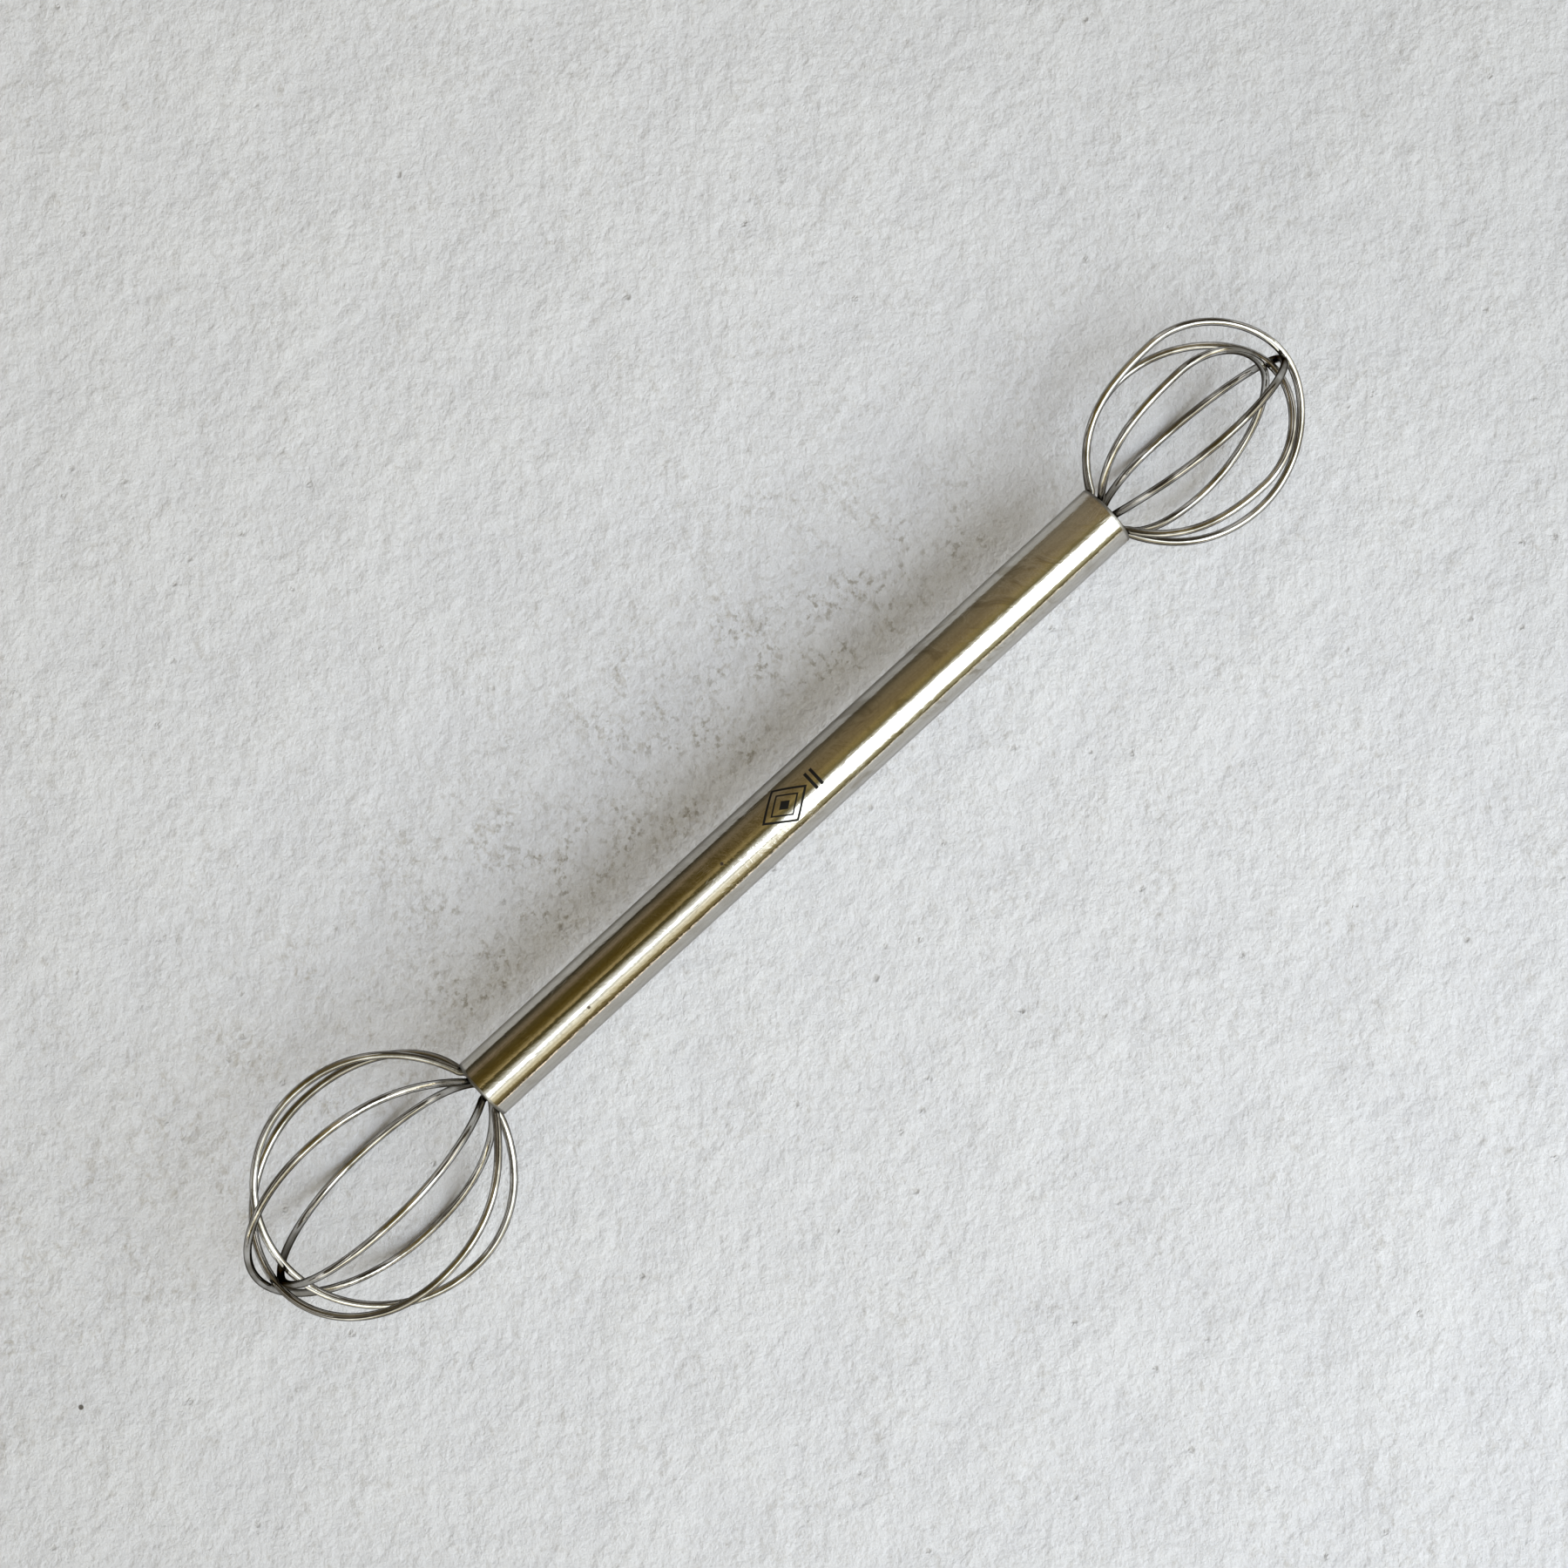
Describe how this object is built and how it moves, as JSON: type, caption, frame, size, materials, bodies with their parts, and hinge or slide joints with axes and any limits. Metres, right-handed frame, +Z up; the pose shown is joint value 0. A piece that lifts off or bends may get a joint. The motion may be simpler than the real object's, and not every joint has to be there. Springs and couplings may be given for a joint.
{
  "type": "balloon whisk",
  "caption": "Double-ended balloon whisk: plain tube handle with a large wire balloon at one end and a smaller one at the other.",
  "frame": {"origin": "middle of the handle tube, on its axis", "axes": "+X along the handle toward the small balloon, +Z up as the whisk lies on a table"},
  "size_m": [0.2057, 0.0382, 0.0362],
  "materials": {
    "tube_steel": "satin polish",
    "wire_steel": "bright drawn",
    "plug_steel": "turned",
    "seal": "matt dark resin"
  },
  "bodies": {
    "root": {"handle_tube": "tube_steel", "large_wire_1": "wire_steel", "large_wire_2": "wire_steel", "large_wire_3": "wire_steel", "large_wire_4": "wire_steel", "small_wire_1": "wire_steel", "small_wire_2": "wire_steel", "small_wire_3": "wire_steel", "small_wire_4": "wire_steel", "large_plug": "plug_steel", "small_plug": "plug_steel", "large_seal": "seal", "small_seal": "seal"}
  },
  "joints": []
}
